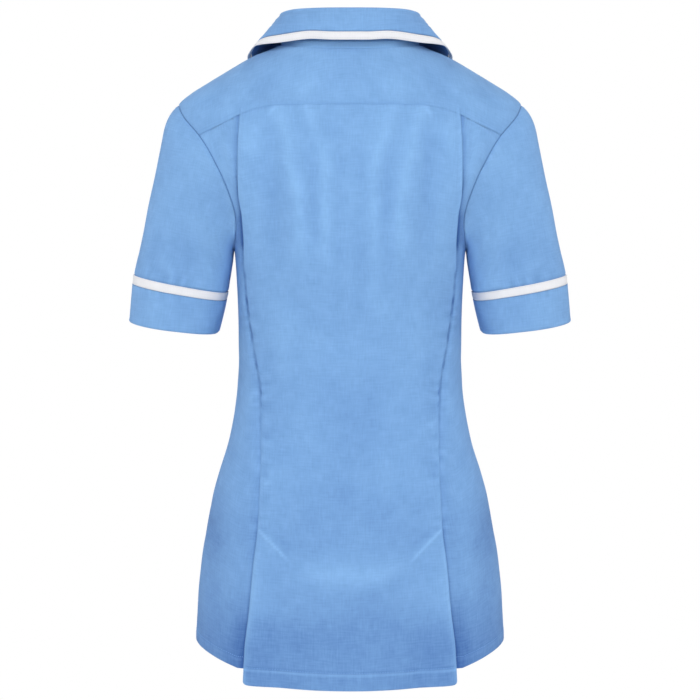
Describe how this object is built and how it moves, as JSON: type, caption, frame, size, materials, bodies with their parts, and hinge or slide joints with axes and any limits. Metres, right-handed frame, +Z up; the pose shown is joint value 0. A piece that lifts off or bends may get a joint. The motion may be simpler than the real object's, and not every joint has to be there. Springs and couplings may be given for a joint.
{
  "type": "medical tunic",
  "caption": "Fitted short-sleeved nurse's tunic in sky blue with action-pleat back, side vents, yoke, turned cuffs and a collar, edged with white bands; shown filled as if worn.",
  "frame": {"origin": "between the two points where the shoulder line meets the neck, on their level, at the depth of the shoulder line", "axes": "+Z up, the wearer faces -Y, +Y is the wearer's back, +X is the wearer's left side"},
  "size_m": [0.5062, 0.2886, 0.7495],
  "materials": {
    "blue_cloth": "matt woven polyester-cotton, sky blue",
    "white_band": "matt woven white band"
  },
  "bodies": {
    "root": {"back_centre": "blue_cloth", "back_side_left": "blue_cloth", "back_side_right": "blue_cloth", "front_left": "blue_cloth", "front_right": "blue_cloth", "yoke": "blue_cloth", "sleeve_left": "blue_cloth", "sleeve_right": "blue_cloth", "cuff_left": "blue_cloth", "cuff_right": "blue_cloth", "cuff_band_left": "white_band", "cuff_band_right": "white_band", "collar": "blue_cloth", "collar_band": "white_band"}
  },
  "joints": []
}
